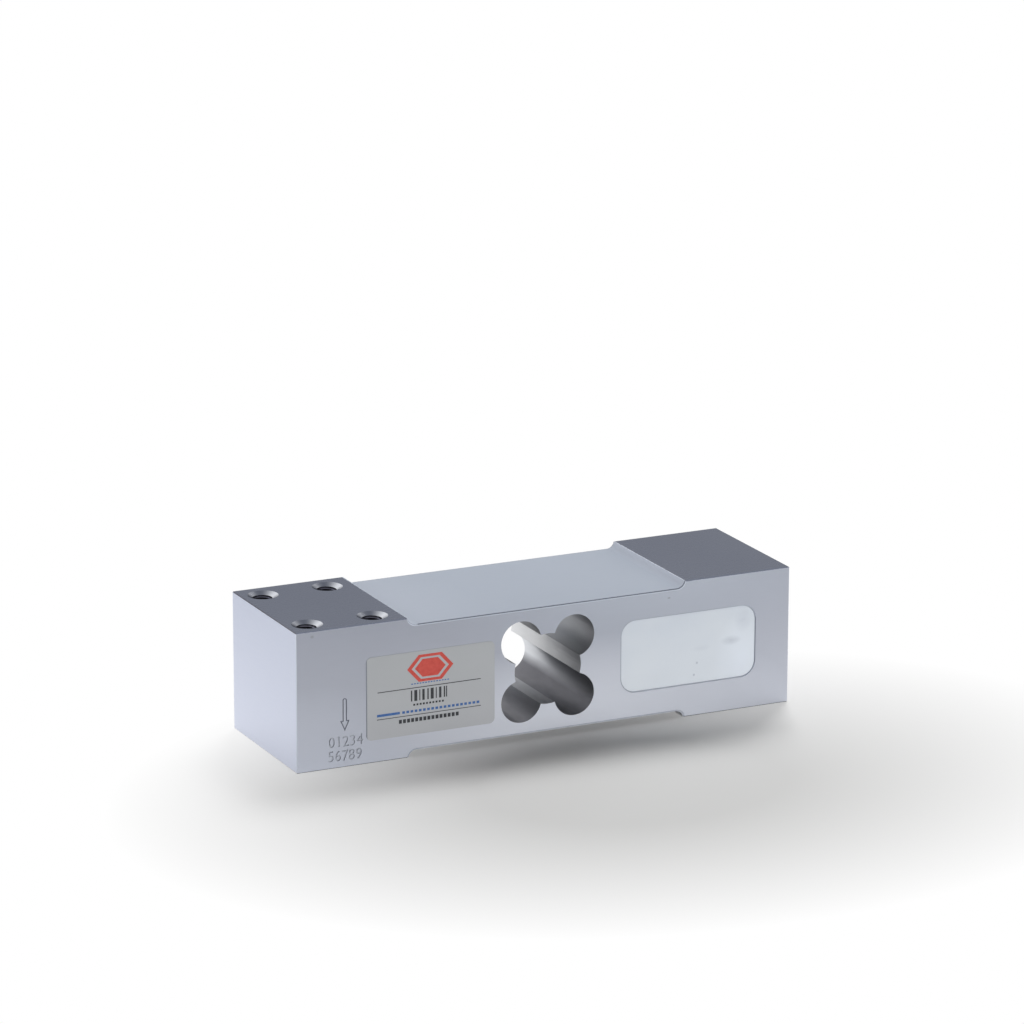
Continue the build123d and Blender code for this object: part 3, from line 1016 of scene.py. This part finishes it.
# Each lamp: its name, place, aim, size, power, and whether it shows in the metal's gloss
LAMPS = (
    ("top_lamp", (0.56, 0.7, 1.12), (0, 0, 0), 0.5, 14.9, False),
    ("left_lamp", (-1.2, 0.22, 0.3), (0, 0, 0.02), 0.6, 4.0, True),
    ("right_lamp", (1.0, 0.52, 0.36), (0, 0, 0.02), 0.25, 0.8, True),
    ("front_lamp", (0.15, -1.0, 0.05), (0, 0, 0.02), 0.08, 5.1, False),
)


def add_camera():
    """The view of the load cell from the load end's side and a little above."""
    data = bpy.data.cameras.new("camera")
    data.lens = CAMERA_LENS
    data.sensor_width = SENSOR_WIDTH
    data.clip_end = CAMERA_REACH
    camera = bpy.data.objects.new("camera", data)
    bpy.context.scene.collection.objects.link(camera)
    heading = Matrix.Rotation(-CAMERA_YAW, 4, "Z")
    heading @= Matrix.Rotation(math.pi / 2 - CAMERA_PITCH, 4, "X")
    heading @= Matrix.Rotation(CAMERA_ROLL, 4, "Z")
    camera.matrix_world = Matrix.Translation(CAMERA_PLACE) @ heading
    bpy.context.scene.camera = camera


def seen_rays(tree):
    """1 for rays that show the surroundings themselves, and 0 for those that only light a surface."""
    path = tree.nodes.new("ShaderNodeLightPath")
    seen = reckon(tree, "MAXIMUM", path.outputs["Is Camera Ray"], path.outputs["Is Glossy Ray"])
    seen = reckon(tree, "MAXIMUM", seen, path.outputs["Is Transmission Ray"])
    direct = reckon(tree, "LESS_THAN", path.outputs["Diffuse Depth"], 0.5)
    return reckon(tree, "MULTIPLY", seen, direct)


def add_floor():
    """A pale matt floor that turns white away from the block."""
    bm = bmesh.new()
    bmesh.ops.create_grid(bm, x_segments=1, y_segments=1, size=FLOOR_HALF_WIDTH)
    mesh = bpy.data.meshes.new("floor")
    bm.to_mesh(mesh)
    bm.free()
    floor = bpy.data.objects.new("floor", mesh)
    bpy.context.scene.collection.objects.link(floor)
    material, tree, shader = new_finish("pale_floor", FLOOR_TONE, 0.0, 0.7)
    pool = spot(tree, FLOOR_POOL, FLOOR_POOL_SIZE, soft=0.3)
    away = spread(tree, pool, 1.0, 0.0, 0.0, 1.0)
    shown = reckon(tree, "MULTIPLY", away, seen_rays(tree))
    white = tree.nodes.new("ShaderNodeEmission")
    mix = tree.nodes.new("ShaderNodeMixShader")
    tree.links.new(shown, mix.inputs[0])
    tree.links.new(shader.outputs["BSDF"], mix.inputs[1])
    tree.links.new(white.outputs["Emission"], mix.inputs[2])
    tree.links.new(mix.outputs["Shader"], tree.nodes["Material Output"].inputs["Surface"])
    mesh.materials.append(material)


def add_lamp(name, place, aim, size, power, shows_in_gloss):
    """A square soft lamp that faces a point."""
    data = bpy.data.lights.new(name, "AREA")
    data.size = size
    data.energy = power
    lamp = bpy.data.objects.new(name, data)
    bpy.context.scene.collection.objects.link(lamp)
    direction = Vector(aim) - Vector(place)
    facing = direction.to_track_quat("-Z", "Y").to_matrix().to_4x4()
    lamp.matrix_world = Matrix.Translation(Vector(place)) @ facing
    lamp.visible_camera = False
    lamp.visible_glossy = shows_in_gloss


def add_world():
    """Even light from all round, and white where it is seen or reflected."""
    world = bpy.data.worlds.new("studio")
    bpy.context.scene.world = world
    world.use_nodes = True
    tree = world.node_tree
    background = tree.nodes["Background"]
    background.inputs["Color"].default_value = (1, 1, 1, 1)
    level = spread(tree, seen_rays(tree), WORLD_LEVEL, 1.0, 0.0, 1.0)
    tree.links.new(level, background.inputs["Strength"])


add_camera()
make_block()
make_potting()
make_label()
make_print()
# The same sealant in two tones: dark, partly painted shade, on the upper cover, and pale, painted light, on
# the lower
make_seal("upper_cover_sealant", "upper_gauge_cover", SEAL)
make_seal("lower_cover_sealant", "lower_gauge_cover", SEAL_PAINTED_LIGHT)
finish_carried_nodes()
add_floor()
add_world()
for lamp_values in LAMPS:
    add_lamp(*lamp_values)
bpy.context.scene.view_settings.view_transform = "Standard"
